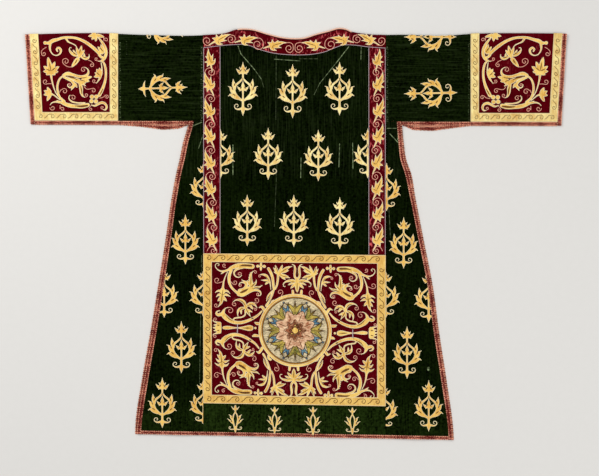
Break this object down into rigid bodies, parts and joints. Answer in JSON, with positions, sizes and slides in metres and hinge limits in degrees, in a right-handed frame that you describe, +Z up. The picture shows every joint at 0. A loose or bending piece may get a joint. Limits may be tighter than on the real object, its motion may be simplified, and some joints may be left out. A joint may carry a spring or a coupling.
{
  "type": "dalmatic",
  "caption": "Liturgical dalmatic in green velvet with crimson and yellow orphreys, cuff and body apparels and galloon edging, laid flat with its front up.",
  "frame": {"origin": "on the surface that the garment lies on, under the middle of its outline", "axes": "+X along the sleeves, towards the wearer's left sleeve; +Y from the hem to the neck; +Z up, out of the front"},
  "size_m": [1.5032, 1.1432, 0.0079],
  "materials": {
    "green_velvet": "dark green cut velvet, soft pile, streaked and worn",
    "green_velvet_worn": "green cut velvet, worn lighter",
    "crimson_velvet": "crimson velvet ground",
    "yellow_satin": "yellow satin with couched cords",
    "embroidery": "silk embroidery in pale blue, green and ochre",
    "couched_ring": "yellow and brown couched cord ring",
    "galloon": "salmon and red woven braid"
  },
  "bodies": {
    "root": {"front_panel": "green_velvet", "hem_panel": "green_velvet_worn", "front_gore_left": "green_velvet", "front_gore_right": "green_velvet", "back_panel": "green_velvet", "back_gore_left": "green_velvet", "back_gore_right": "green_velvet", "sleeve_left": "green_velvet", "sleeve_right": "green_velvet", "cuff_left": "crimson_velvet", "cuff_right": "crimson_velvet", "cuff_border_left": "yellow_satin", "cuff_border_right": "yellow_satin", "clavus_left": "crimson_velvet", "clavus_right": "crimson_velvet", "neck_band": "crimson_velvet", "apparel_field": "crimson_velvet", "apparel_border": "yellow_satin", "roundel": "embroidery", "roundel_ring": "couched_ring", "front_sleeve_galloon_left": "galloon", "front_sleeve_galloon_right": "galloon", "front_side_galloon_left": "galloon", "front_side_galloon_right": "galloon", "front_hem_galloon": "galloon", "back_sleeve_galloon_left": "galloon", "back_sleeve_galloon_right": "galloon", "back_side_galloon_left": "galloon", "back_side_galloon_right": "galloon", "back_hem_galloon": "galloon", "end_galloon_left": "galloon", "end_galloon_right": "galloon", "front_neck_galloon": "galloon", "back_neck_galloon": "galloon"}
  },
  "joints": []
}
